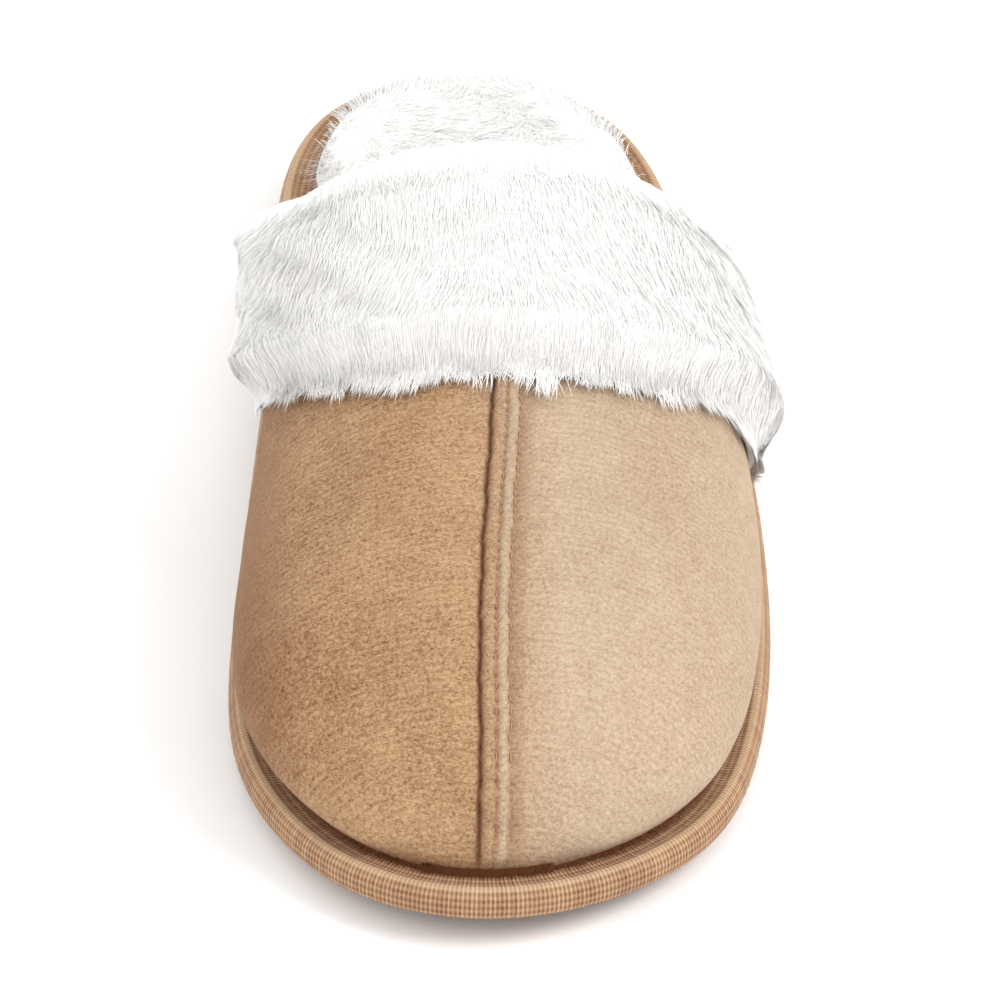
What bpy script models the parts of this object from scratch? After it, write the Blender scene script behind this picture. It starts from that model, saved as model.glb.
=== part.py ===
"""Scuff slipper for a left foot: a backless house shoe with a bound platform sole and a fur cuff.

Metres, +Z up. The toe points to -Y and the lateral side is +X. The origin is on the floor, under the
middle of the sole. Every piece is worked out from the sizes below, and meets the next across CLEARANCE.
"""

import math
from collections import namedtuple

import bmesh
import bpy
import numpy as np

# Sole
SOLE_LENGTH = 0.263
BALL_WIDTH = 0.098
HEEL_WIDTH = 0.074
TOE_SPRING = 0.0035
SPRING_LENGTH = 0.060
OUTSOLE_THICKNESS = 0.0025
OUTSOLE_INSET = 0.0045
PLATFORM_TOE = 0.0062
PLATFORM_HEEL = 0.0115
TREAD_DEPTH = 0.0010
TREAD_WIDTH = 0.0022
TREAD_PITCH = 0.0095
TREAD_CHEVRON = 0.006
TREAD_MARGIN = 0.020

# Binding tape round the platform
BINDING_WALL = 0.0012
BINDING_HEM = 0.0062
BINDING_LEDGE = 0.0082

# Upper
CREASE_INSET = 0.0065
UPPER_WALL = 0.0028
UPPER_RISE = 0.0560
UPPER_REACH = 0.138
MEDIAL_REACH = 0.199
LATERAL_REACH = 0.187
TOE_FRONT = 0.0085
BULGE = 0.016
SEAM_WIDTH = 0.0052
SEAM_RISE = 0.0011
SEAM_DITCH = 0.0008

# Fur cuff
CUFF_WIDTH = 0.0455
CUFF_TURN_IN = 0.016
FUR_OUTSIDE = 0.0085
FUR_INSIDE = 0.0060
FUR_BEHIND = 0.0060
FUR_FOOT = 0.0012
FOOT_FUR_MEDIAL = 0.30
FOOT_FUR_LATERAL = 0.28
LOCK_LENGTH = 0.0135
LOCK_RADIUS = 0.0046

# Insole with its plush pile
INSOLE_FOAM = 0.0030
INSOLE_PILE = 0.0040
INSOLE_HEEL_INSET = 0.0058
INSOLE_FRONT_GAP = 0.0016
PILE_LOCK_LENGTH = 0.0055
PILE_LOCK_RADIUS = 0.0024

CLEARANCE = 0.0003

# Mesh steps
OUTLINE_STEPS = 72
VAMP_STEPS = 14
CUFF_STEPS = 9
HALF_GIRTH_STEPS = 10

# The sole's edge seen from above. along is a share of SOLE_LENGTH from the toe; lateral and medial are
# shares of the width that the row names, from the centre line.
OutlineRow = namedtuple("OutlineRow", "along lateral medial width")
OUTLINE = (
    OutlineRow(0.000, -0.040, -0.040, "ball"),
    OutlineRow(0.030, 0.206, -0.266, "ball"),
    OutlineRow(0.092, 0.371, -0.398, "ball"),
    OutlineRow(0.188, 0.464, -0.482, "ball"),
    OutlineRow(0.300, 0.502, -0.489, "ball"),
    OutlineRow(0.420, 0.507, -0.468, "ball"),
    OutlineRow(0.560, 0.482, -0.440, "ball"),
    OutlineRow(0.700, 0.566, -0.552, "heel"),
    OutlineRow(0.845, 0.493, -0.535, "heel"),
    OutlineRow(0.915, 0.417, -0.480, "heel"),
    OutlineRow(0.967, 0.284, -0.360, "heel"),
    OutlineRow(1.000, -0.030, -0.030, "heel"),
)

# The edge of the platform in section. inward is in metres from the outermost line, up a share of the
# platform's height.
EdgeRow = namedtuple("EdgeRow", "inward up")
PLATFORM_EDGE = (
    EdgeRow(0.0018, 0.00),
    EdgeRow(0.0003, 0.18),
    EdgeRow(0.0000, 0.46),
    EdgeRow(0.0006, 0.76),
    EdgeRow(0.0028, 0.96),
)

# The upper's sections from the toe to the top line. girth runs 0 to 1 and a little past the top line,
# crown_along is a share of UPPER_REACH, crown_rise a share of UPPER_RISE over the platform, the bulges
# shares of BULGE, the shoulders shares of the half width, sweep a power that bends the section
# backwards, and seam the seam's place as a share of BALL_WIDTH.
SECTION_NAMES = "girth crown_along crown_rise medial lateral medial_shoulder lateral_shoulder sweep seam"
SectionRow = namedtuple("SectionRow", SECTION_NAMES)
SECTIONS = (
    SectionRow(0.000, 0.036, 0.000, 0.00, 0.00, 0.60, 0.60, 1.0, -0.030),
    SectionRow(0.125, 0.070, 0.225, 0.60, 0.45, 0.66, 0.66, 1.0, -0.027),
    SectionRow(0.250, 0.128, 0.405, 0.95, 0.72, 0.72, 0.72, 1.0, -0.027),
    SectionRow(0.375, 0.220, 0.555, 1.10, 0.85, 0.76, 0.75, 1.0, -0.027),
    SectionRow(0.500, 0.345, 0.665, 1.12, 0.85, 0.80, 0.77, 1.0, -0.024),
    SectionRow(0.625, 0.486, 0.740, 1.08, 0.82, 0.82, 0.78, 1.0, -0.017),
    SectionRow(0.750, 0.644, 0.802, 1.02, 0.72, 0.84, 0.78, 1.1, -0.008),
    SectionRow(0.875, 0.814, 0.888, 0.80, 0.50, 0.84, 0.77, 1.4, -0.006),
    SectionRow(1.000, 1.000, 1.000, 0.60, 0.36, 0.84, 0.76, 1.7, -0.006),
    SectionRow(1.120, 1.180, 1.110, 0.60, 0.36, 0.84, 0.76, 1.8, -0.006),
)

# The height of the first Bezier handle over the foot, as a share of the section's height
SIDE_HANDLE = 0.58

# Rows of fur locks over the cuff: run is the place from the cuff's front edge to the top line, count the
# locks from side to side, and lift how far the tips stand off the fur's face as a share of its depth.
LockRow = namedtuple("LockRow", "run count lift")
CUFF_LOCKS = (
    LockRow(0.08, 25, -0.58),
    LockRow(0.28, 21, 0.16),
    LockRow(0.50, 20, 0.17),
    LockRow(0.72, 19, 0.17),
    LockRow(0.94, 18, 0.16),
)

# Rings of pile locks on the insole: inward from its edge in metres, and how many go round
PileRow = namedtuple("PileRow", "inward count")
PILE_LOCKS = (PileRow(0.0045, 34), PileRow(0.0125, 26), PileRow(0.0215, 18))


def clear_scene():
    for thing in list(bpy.data.objects):
        bpy.data.objects.remove(thing, do_unlink=True)


def spline(knots, values, period=None):
    """A cubic spline through the rows of values, natural at its ends or closed over the period."""
    knots = np.asarray(knots, float)
    values = np.asarray(values, float)
    if period:
        knots = np.append(knots, knots[0] + period)
        values = np.append(values, values[0])
    steps = np.diff(knots)
    slopes = np.diff(values) / steps
    size = len(knots) - (1 if period else 0)
    system = np.eye(size)
    right = np.zeros(size)
    for i in range(0 if period else 1, size if period else size - 1):
        before = steps[i - 1]
        after = steps[i]
        system[i] = 0
        system[i, (i - 1) % size] += before
        system[i, i] += 2 * (before + after)
        system[i, (i + 1) % size] += after
        right[i] = 6 * (slopes[i] - slopes[i - 1])
    bend = np.linalg.solve(system, right)
    if period:
        bend = np.append(bend, bend[0])

    def at(place):
        place = np.asarray(place, float)
        if period:
            place = (place - knots[0]) % period + knots[0]
        i = np.clip(np.searchsorted(knots, place, side="right") - 1, 0, len(steps) - 1)
        left = place - knots[i]
        rest = knots[i + 1] - place
        step = steps[i]
        return (
            (bend[i] * rest**3 + bend[i + 1] * left**3) / (6 * step)
            + (values[i] / step - bend[i] * step / 6) * rest
            + (values[i + 1] / step - bend[i + 1] * step / 6) * left
        )

    return at


def smoothstep(value, low, high):
    share = np.clip((np.asarray(value, float) - low) / (high - low), 0, 1)
    return share * share * (3 - 2 * share)


def phase_of(along):
    """The outline's phase at a share of the length: 0 at the toe, pi at the heel."""
    return math.acos(1 - 2 * along)


def outline_spline():
    width = {"ball": BALL_WIDTH, "heel": HEEL_WIDTH}
    phases = [-phase_of(row.along) for row in reversed(OUTLINE[1:-1])]
    across = [row.medial * width[row.width] for row in reversed(OUTLINE[1:-1])]
    phases += [phase_of(row.along) for row in OUTLINE]
    across += [row.lateral * width[row.width] for row in OUTLINE]
    return spline(phases, across, period=2 * math.pi)


ACROSS = outline_spline()


def outline(phases, inset=0.0):
    """Points of the sole's outline at these phases, moved inwards by the inset."""
    phases = np.asarray(phases, float)

    def edge(at):
        return np.stack([ACROSS(at), -SOLE_LENGTH / 2 * np.cos(at)], -1)

    step = 1e-4
    tangent = edge(phases + step) - edge(phases - step)
    tangent /= np.linalg.norm(tangent, axis=-1, keepdims=True)
    inward = np.stack([-tangent[..., 1], tangent[..., 0]], -1)
    return edge(phases) + inward * np.asarray(inset)[..., None]


def outline_phases():
    """Phases that space the outline's points evenly enough, in pairs across the shoe."""
    return 2 * math.pi * np.arange(OUTLINE_STEPS) / OUTLINE_STEPS


def ground(y):
    """The underside's height: flat from the ball back, lifted at the toe."""
    from_toe = np.asarray(y, float) + SOLE_LENGTH / 2
    return TOE_SPRING * np.clip(1 - from_toe / SPRING_LENGTH, 0, None) ** 2


def platform_height(y):
    """The platform rises from the ball to the heel."""
    wedge = smoothstep(np.asarray(y, float) / SOLE_LENGTH, -0.25, 0.25)
    return PLATFORM_TOE + (PLATFORM_HEEL - PLATFORM_TOE) * wedge


def platform_bottom(y):
    return ground(y) + OUTSOLE_THICKNESS + CLEARANCE


def platform_top(y):
    return platform_bottom(y) + platform_height(y)


def raised(flat, height):
    """Flat outline points lifted to the heights."""
    return np.concatenate([flat, np.asarray(height)[..., None]], -1)


def build_object(name, shape, material, collection):
    mesh = bpy.data.meshes.new(name)
    bmesh.ops.remove_doubles(shape, verts=shape.verts, dist=1e-6)
    bmesh.ops.recalc_face_normals(shape, faces=shape.faces)
    shape.to_mesh(mesh)
    shape.free()
    mesh.shade_smooth()
    mesh.set_sharp_from_angle(angle=math.radians(50))
    thing = bpy.data.objects.new(name, mesh)
    collection.objects.link(thing)
    if material:
        mesh.materials.append(material)
    return thing


def add_face(shape, corners):
    corners = list(dict.fromkeys(corners))
    if len(corners) > 2:
        shape.faces.new(corners)


def loft(rings, closed_across, closed_along):
    """A mesh of quads over rows of points, closed round either way."""
    shape = bmesh.new()
    grid = [[shape.verts.new(point) for point in ring] for ring in rings]
    rows = len(grid)
    columns = len(grid[0])
    for i in range(rows if closed_along else rows - 1):
        for j in range(columns if closed_across else columns - 1):
            after_i = (i + 1) % rows
            after_j = (j + 1) % columns
            add_face(shape, [grid[i][j], grid[i][after_j], grid[after_i][after_j], grid[after_i][j]])
    return shape, grid


def cap_across(shape, ring):
    """Closes a ring whose points pair across the shoe with strips from side to side."""
    count = len(ring)
    for k in range(count // 2):
        add_face(shape, [ring[k], ring[k + 1], ring[(count - k - 1) % count], ring[(count - k) % count]])


def cap_between(shape, first, second):
    """Closes a ring made of two runs of points, which pair one to one."""
    for k in range(len(first) - 1):
        add_face(shape, [first[k], first[k + 1], second[k + 1], second[k]])


def edge_profile(wall):
    """The platform's edge in section from the hem to the ledge, moved inwards by a wall."""
    rows = [(row.inward, row.up) for row in PLATFORM_EDGE]
    return [(inward + wall, up) for inward, up in rows]


def edge_ring(phases, inward, up, wall):
    """One ring of the platform's edge. The wall also takes the ring in from the top and the bottom."""
    flat = outline(phases, np.full(len(phases), inward))
    low = platform_bottom(flat[:, 1]) + wall
    high = platform_top(flat[:, 1]) - wall
    return raised(flat, low + (high - low) * up)


def make_outsole(material, collection, cutters):
    """A rubber sheet that follows the toe spring, with chevron grooves in its underside."""
    phases = outline_phases()
    levels = ((OUTSOLE_INSET + 0.0008, 0.0), (OUTSOLE_INSET, 0.30), (OUTSOLE_INSET, 1.0))
    rings = []
    for inset, share in levels:
        flat = outline(phases, np.full(len(phases), inset))
        rings.append(raised(flat, ground(flat[:, 1]) + share * OUTSOLE_THICKNESS))
    shape, grid = loft(rings, closed_across=True, closed_along=False)
    cap_across(shape, grid[0])
    cap_across(shape, grid[-1])
    outsole = build_object("outsole", shape, material, collection)
    grooves = make_grooves(cutters)
    cut = outsole.modifiers.new("tread", "BOOLEAN")
    cut.operation = "DIFFERENCE"
    cut.object = grooves
    return outsole


def make_grooves(cutters):
    """Chevron channels across the forefoot and the heel; the waist stays plain."""
    shape = bmesh.new()
    half = BALL_WIDTH
    first = -SOLE_LENGTH / 2 + TREAD_MARGIN
    count = int((SOLE_LENGTH - 2 * TREAD_MARGIN) / TREAD_PITCH) + 1
    waist = (0.02 * SOLE_LENGTH, 0.18 * SOLE_LENGTH)
    for k in range(count):
        y = first + k * TREAD_PITCH
        if waist[0] < y < waist[1]:
            continue
        deep = ground(y) + TREAD_DEPTH
        line = [(-half, y), (0, y - TREAD_CHEVRON), (half, y)]
        rings = []
        for x, middle in line:
            low = -OUTSOLE_THICKNESS
            near = middle - TREAD_WIDTH / 2
            far = middle + TREAD_WIDTH / 2
            rings.append([(x, near, low), (x, far, low), (x, far, deep), (x, near, deep)])
        grid = [[shape.verts.new(point) for point in ring] for ring in rings]
        for i in range(len(grid) - 1):
            for j in range(4):
                after = (j + 1) % 4
                shape.faces.new([grid[i][j], grid[i][after], grid[i + 1][after], grid[i + 1][j]])
        shape.faces.new(grid[0])
        shape.faces.new(grid[-1])
    grooves = build_object("tread_grooves", shape, None, cutters)
    hide(grooves)
    return grooves


def hide(thing):
    thing.hide_render = True
    thing.display_type = "WIRE"


def make_binding(material, collection):
    """A ribbed tape wrapped round the platform's edge, from its hem below to its ledge above."""
    phases = outline_phases()
    outer = [(BINDING_HEM, 0.0)] + edge_profile(0.0) + [(BINDING_LEDGE, 1.0)]
    inner = [(BINDING_LEDGE, 1.0)] + edge_profile(BINDING_WALL)[::-1] + [(BINDING_HEM, 0.0)]
    rings = [edge_ring(phases, inward, up, 0.0) for inward, up in outer]
    rings += [edge_ring(phases, inward, up, BINDING_WALL) for inward, up in inner]
    shape, _ = loft(rings, closed_across=True, closed_along=True)
    return build_object("binding", shape, material, collection)


def make_midsole(material, collection):
    """The foam platform inside the binding, with a rebate for the tape above and below."""
    phases = outline_phases()
    wall = BINDING_WALL + CLEARANCE
    hem = BINDING_HEM + CLEARANCE
    ledge = BINDING_LEDGE + CLEARANCE
    rings = [edge_ring(phases, hem, 0.0, 0.0), edge_ring(phases, hem, 0.0, wall)]
    rings += [edge_ring(phases, inward, up, wall) for inward, up in edge_profile(wall)]
    rings += [edge_ring(phases, ledge, 1.0, wall), edge_ring(phases, ledge, 1.0, 0.0)]
    shape, grid = loft(rings, closed_across=True, closed_along=False)
    cap_across(shape, grid[0])
    cap_across(shape, grid[-1])
    return build_object("midsole", shape, material, collection)


def section_columns():
    """A spline over girth for each column of the section table."""
    girths = [row.girth for row in SECTIONS]
    names = SectionRow._fields[1:]
    return {name: spline(girths, [getattr(row, name) for row in SECTIONS]) for name in names}


COLUMNS = section_columns()
LATERAL_PHASE = phase_of(LATERAL_REACH / SOLE_LENGTH)
MEDIAL_PHASE = phase_of(MEDIAL_REACH / SOLE_LENGTH)
TOE_PHASE = 2 * TOE_FRONT / BALL_WIDTH


def crown(girth, inward):
    """(y, z) of the upper's middle line, moved into the shoe at right angles to that line."""

    def line(at):
        y = COLUMNS["crown_along"](at) * UPPER_REACH - SOLE_LENGTH / 2
        return np.array([y, platform_top(y) + CLEARANCE + COLUMNS["crown_rise"](at) * UPPER_RISE])

    step = 0.01
    start = max(girth - step, 0.0)
    tangent = line(girth + step) - line(start)
    tangent /= np.linalg.norm(tangent)
    inside = np.array([tangent[1], -tangent[0]])
    return line(girth) + inside * inward


def shell_points(girth, sides, inward=0.0):
    """Points of the upper at one girth. sides runs from -1 at the medial foot over 0 at the crown to 1
    at the lateral foot; inward moves the surface into the shoe, and less than 0 out of it."""
    sides = np.asarray(sides, float)
    inward = np.broadcast_to(np.asarray(inward, float), sides.shape)
    reach = np.where(sides < 0, MEDIAL_PHASE, LATERAL_PHASE)
    phases = np.where(sides < 0, -1, 1) * (TOE_PHASE + girth * (reach - TOE_PHASE))
    feet = outline(phases, CREASE_INSET + inward)
    foot_z = platform_top(feet[:, 1]) + CLEARANCE
    seam = COLUMNS["seam"](girth) * BALL_WIDTH
    middle = np.array([crown(girth, amount) for amount in inward])
    lift = np.maximum(middle[:, 1] - foot_z, 0.0)
    bulge = BULGE * np.where(sides < 0, -COLUMNS["medial"](girth), COLUMNS["lateral"](girth))
    shoulder = np.where(sides < 0, COLUMNS["medial_shoulder"](girth), COLUMNS["lateral_shoulder"](girth))
    t = 1 - np.abs(sides)
    handles = (
        (feet[:, 0], 0.0),
        (feet[:, 0] + bulge, SIDE_HANDLE),
        (seam + (feet[:, 0] - seam) * shoulder, 1.0),
        (seam, 1.0),
    )
    weights = ((1 - t) ** 3, 3 * (1 - t) ** 2 * t, 3 * (1 - t) * t**2, t**3)
    x = sum(weight * handle[0] for weight, handle in zip(weights, handles))
    up = sum(weight * handle[1] for weight, handle in zip(weights, handles))
    back = 1 - (1 - up) ** COLUMNS["sweep"](girth)
    y = feet[:, 1] + (middle[:, 0] - feet[:, 1]) * back
    points = np.stack([x, y, foot_z + lift * up], -1)
    near = smoothstep(girth, 0.0, 0.10)
    if near < 1:
        spread = (x - seam) / (feet[:, 0] - seam)
        flat = outline(phases * spread, CREASE_INSET + inward)
        front = raised(flat, platform_top(flat[:, 1]) + CLEARANCE + lift * up)
        points = front + (points - front) * near
    return points


def seam_sides(girth):
    """The sides values for the seam's edges, and the rise over the upper's face at each."""
    dense = np.linspace(-0.7, 0.7, 401)
    spread = shell_points(girth, dense)[:, 0] - COLUMNS["seam"](girth) * BALL_WIDTH
    fade = smoothstep(girth, 0.0, 0.06)
    edge = SEAM_WIDTH / 2
    steps = (
        (-edge - 0.0012, 0.0),
        (-edge - 0.0003, -SEAM_DITCH),
        (-edge + 0.0003, SEAM_RISE),
        (edge - 0.0005, SEAM_RISE),
        (edge + 0.0006, 0.0),
    )
    middle = [float(np.interp(offset, spread, dense)) for offset, _ in steps]
    return middle, [rise * fade for _, rise in steps]


def section_sides(girth):
    """Where a section's points lie from side to side, and the seam's rise at each of them."""
    middle, rises = seam_sides(girth)
    share = np.linspace(0, 1, HALF_GIRTH_STEPS + 1)[:-1]
    medial = -1 + share * (1 + middle[0])
    lateral = 1 - share * (1 - middle[-1])
    none = np.zeros(len(share))
    return np.concatenate([medial, middle, lateral[::-1]]), np.concatenate([none, rises, none])


def find_cuff_start():
    """The girth where the cuff's front edge lies, CUFF_WIDTH before the top line at the crown."""
    girths = np.linspace(0.4, 1.0, 121)
    line = np.array([crown(girth, 0.0) for girth in girths])
    runs = np.concatenate([[0], np.cumsum(np.linalg.norm(np.diff(line, axis=0), axis=1))])
    return float(np.interp(runs[-1] - CUFF_WIDTH, runs, girths))


CUFF_START = find_cuff_start()


def cuff_girth(run):
    return CUFF_START + (1 - CUFF_START) * run / CUFF_WIDTH


def make_upper(material, collection):
    """One hollow wall from the toe to the top line, with the seam down its middle as a step."""
    vamp = CUFF_START * np.linspace(0, 1, VAMP_STEPS + 1)[:-1] ** 1.15
    girths = [*vamp, *(cuff_girth(CUFF_WIDTH * k / CUFF_STEPS) for k in range(CUFF_STEPS + 1))]
    outer_rows = []
    inner_rows = []
    for girth in girths:
        sides, rises = section_sides(girth)
        outer_rows.append(shell_points(girth, sides, -rises))
        inner_rows.append(shell_points(girth, sides, np.full(len(sides), UPPER_WALL)))
    rings = [np.concatenate([o, i[::-1]]) for o, i in zip(outer_rows, inner_rows)]
    shape, grid = loft(rings, closed_across=True, closed_along=False)
    count = len(outer_rows[0])
    for ring in (grid[0], grid[-1]):
        cap_between(shape, ring[:count], ring[count:][::-1])
    return build_object("upper", shape, material, collection)


def cuff_profile():
    """The cuff in section as two runs of points that pair one to one: the fur's face from the front edge
    round the top line to the inside, and the face that hugs the upper. Each point is (run, out)."""
    near = CLEARANCE
    far = -UPPER_WALL - CLEARANCE
    round_front = 0.006
    face = [(0.0, near)]
    for angle in np.radians((25, 60, 90)):
        face.append((round_front * (1 - math.cos(angle)), near + FUR_OUTSIDE * math.sin(angle)))
    face += [(CUFF_WIDTH * share, near + FUR_OUTSIDE) for share in (0.35, 0.6, 0.85)]
    middle = (near + FUR_OUTSIDE + far - FUR_INSIDE) / 2
    half = (FUR_OUTSIDE + FUR_INSIDE + UPPER_WALL + 2 * CLEARANCE) / 2
    for angle in np.radians((60, 30, 0, -30, -60, -90)):
        face.append((CUFF_WIDTH + FUR_BEHIND * math.cos(angle), middle + half * math.sin(angle)))
    inside_end = CUFF_WIDTH - CUFF_TURN_IN
    face += [(CUFF_WIDTH - 0.5 * CUFF_TURN_IN, far - FUR_INSIDE), (inside_end, far - 0.6 * FUR_INSIDE)]
    face.append((inside_end, far))
    hug = [(CUFF_WIDTH * k / CUFF_STEPS, near) for k in range(CUFF_STEPS)]
    hug += [(CUFF_WIDTH + near, near), (CUFF_WIDTH + near, far)]
    turned = len(face) - len(hug)
    hug += [(CUFF_WIDTH - CUFF_TURN_IN * (k + 1) / turned, far) for k in range(turned)]
    return face, hug


def fur_depth(run, sides, out):
    """How far a point of the cuff stands off the upper: full on top, thin at both feet and the inside,
    and a little uneven."""
    sides = np.asarray(sides, float)
    height = 1 - np.abs(sides)
    face = CLEARANCE if out > 0 else -UPPER_WALL - CLEARANCE
    depth = out - face
    if abs(depth) < 1e-6:
        return np.full(sides.shape, out)
    if out < 0:
        keep = smoothstep(height, 0.14, 0.30)
        return face + depth * keep - FUR_FOOT * (1 - keep)
    foot = np.where(sides < 0, FOOT_FUR_MEDIAL, FOOT_FUR_LATERAL)
    full = foot + (1 - foot) * smoothstep(height, 0.0, 0.40)
    lumps = 0.06 * np.sin(31 * sides + 1.7) + 0.05 * np.sin(8.5 * run / CUFF_WIDTH + 23 * sides)
    return face + depth * (full + lumps)


def cuff_row(run, out):
    """A row of the cuff's points from side to side. On the upper's face it follows the seam."""
    girth = cuff_girth(run)
    sides, rises = section_sides(girth)
    depths = fur_depth(run, sides, out)
    follow = np.clip(1 - (depths - CLEARANCE) / FUR_OUTSIDE, 0, 1) if out > 0 else 0.0
    return shell_points(girth, sides, -depths - rises * follow)


def make_cuff(material, collection, cutters):
    """The fur band: folded over the top line, with its locks fused on."""
    face, hug = cuff_profile()
    rows = [cuff_row(run, out) for run, out in face + hug[::-1]]
    shape, grid = loft(rows, closed_across=False, closed_along=True)
    count = len(face)
    for k in (0, -1):
        ring = [row[k] for row in grid]
        cap_between(shape, ring[:count], ring[count:][::-1])
    cuff = build_object("cuff", shape, material, collection)
    fuse(cuff, cuff_locks(cutters))
    return cuff


def add_lock(shape, root, tip, radius, out):
    """One lock of fur, a flat four-sided cone from a root inside the fur to its tip. out is the way the
    fur faces."""
    ahead = tip - root
    ahead /= np.linalg.norm(ahead)
    across = np.cross(ahead, out)
    across /= np.linalg.norm(across)
    up = np.cross(across, ahead)
    sides = (across, 0.5 * up, -across, -0.5 * up)
    ring = [shape.verts.new(root + radius * side) for side in sides]
    point = shape.verts.new(tip)
    shape.faces.new(ring)
    for k in range(4):
        shape.faces.new([ring[k], ring[(k + 1) % 4], point])


def lock_point(run, side, rise):
    """A point over the cuff's outer fur, its rise over the fur's face."""
    sides = np.array([side])
    depths = fur_depth(run, sides, CLEARANCE + FUR_OUTSIDE) + rise
    return shell_points(cuff_girth(run), sides, -depths)[0]


def cuff_locks(cutters):
    """Rows of locks, combed forwards over the cuff; the first row hangs over its front edge."""
    shape = bmesh.new()
    for number, row in enumerate(CUFF_LOCKS):
        for k in range(row.count):
            side = -0.84 + 1.68 * (k + 0.25 + 0.5 * (number % 2)) / row.count
            run = CUFF_WIDTH * row.run + 0.0015 * math.sin(7 * k + number)
            reach = LOCK_LENGTH * (0.85 + 0.2 * math.sin(5 * k + 2 * number))
            depth = float(fur_depth(run, [side], CLEARANCE + FUR_OUTSIDE)[0])
            root = lock_point(run + 0.5 * reach, side, -0.34 * depth)
            fall = 0.07 * side + 0.012 * math.sin(3 * k)
            tip = lock_point(run - 0.5 * reach, side + fall, row.lift * depth)
            out = lock_point(run, side, 0.001) - lock_point(run, side, 0.0)
            add_lock(shape, root, tip, min(LOCK_RADIUS, 0.7 * depth), out)
    locks = build_object("cuff_locks", shape, None, cutters)
    hide(locks)
    return locks


def fuse(thing, other):
    join = thing.modifiers.new("locks", "BOOLEAN")
    join.operation = "UNION"
    join.object = other
    join.use_self = True


def insole_inset(edge):
    """The insole's edge: clear of the cuff and the wall in front, near the platform's edge at the heel."""
    front = CREASE_INSET + UPPER_WALL + CLEARANCE + FUR_FOOT + INSOLE_FRONT_GAP
    reach = np.where(edge[:, 0] < 0, MEDIAL_REACH, LATERAL_REACH)
    behind = smoothstep(edge[:, 1] + SOLE_LENGTH / 2 - reach, 0.003, 0.024)
    return front + (INSOLE_HEEL_INSET - front) * behind


def insole_ring(phases, inward, height):
    rough = outline(phases, np.full(len(phases), 0.006))
    flat = outline(phases, insole_inset(rough) + inward)
    return raised(flat, platform_top(flat[:, 1]) + CLEARANCE + height)


def pile_face(inward):
    """The pile's height over the platform: a soft rim that rises to full height inside."""
    return INSOLE_FOAM + INSOLE_PILE * math.sin(math.pi / 2 * min(inward / 0.012, 1.0))


def make_insole(material, collection, cutters):
    """The foam footbed with its plush pile, whose rounded rim shows round the heel."""
    phases = outline_phases()
    levels = [(0.0006, 0.0), (0.0, 0.4 * INSOLE_FOAM)]
    levels += [(inward, pile_face(inward)) for inward in (0.0006, 0.0040, 0.0120, 0.0220)]
    rings = [insole_ring(phases, inward, height) for inward, height in levels]
    shape, grid = loft(rings, closed_across=True, closed_along=False)
    cap_across(shape, grid[0])
    cap_across(shape, grid[-1])
    insole = build_object("insole", shape, material, collection)
    fuse(insole, pile_locks(cutters))
    return insole


def pile_locks(cutters):
    """Short locks over the heel part of the insole, where the footbed shows."""
    shape = bmesh.new()
    for number, row in enumerate(PILE_LOCKS):
        phases = math.pi + np.linspace(-0.95, 0.95, row.count)
        face = pile_face(row.inward)
        lean = 0.018 * np.sin(5 * np.arange(row.count) + number)
        roots = insole_ring(phases, row.inward + 0.0012, face - 0.0030)
        tips = insole_ring(phases + lean, row.inward - 0.0012, face + PILE_LOCK_LENGTH * 0.22)
        for root, tip in zip(roots, tips):
            add_lock(shape, root, tip, PILE_LOCK_RADIUS, (0.0, 0.0, 1.0))
    locks = build_object("pile_locks", shape, None, cutters)
    hide(locks)
    return locks


def make_material(name, colour, roughness):
    material = bpy.data.materials.new(name)
    material.use_nodes = True
    shader = material.node_tree.nodes["Principled BSDF"]
    shader.inputs["Base Color"].default_value = (*colour, 1.0)
    shader.inputs["Roughness"].default_value = roughness
    shader.inputs["Metallic"].default_value = 0.0
    material.diffuse_color = (*colour, 1.0)
    return material


def main():
    clear_scene()
    slipper = bpy.data.collections.new("scuff_slipper")
    cutters = bpy.data.collections.new("cutters")
    bpy.context.scene.collection.children.link(slipper)
    bpy.context.scene.collection.children.link(cutters)
    rubber = make_material("tan rubber", (0.36, 0.22, 0.12), 0.75)
    foam = make_material("pale foam", (0.72, 0.66, 0.58), 0.85)
    tape = make_material("ribbed tape", (0.47, 0.28, 0.15), 0.80)
    plush = make_material("white plush", (0.88, 0.87, 0.85), 0.95)
    suede = make_material("tan microsuede", (0.60, 0.40, 0.23), 0.90)
    fur = make_material("white fur", (0.90, 0.89, 0.87), 0.95)
    make_outsole(rubber, slipper, cutters)
    make_midsole(foam, slipper)
    make_binding(tape, slipper)
    make_insole(plush, slipper, cutters)
    make_upper(suede, slipper)
    make_cuff(fur, slipper, cutters)


main()
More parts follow.
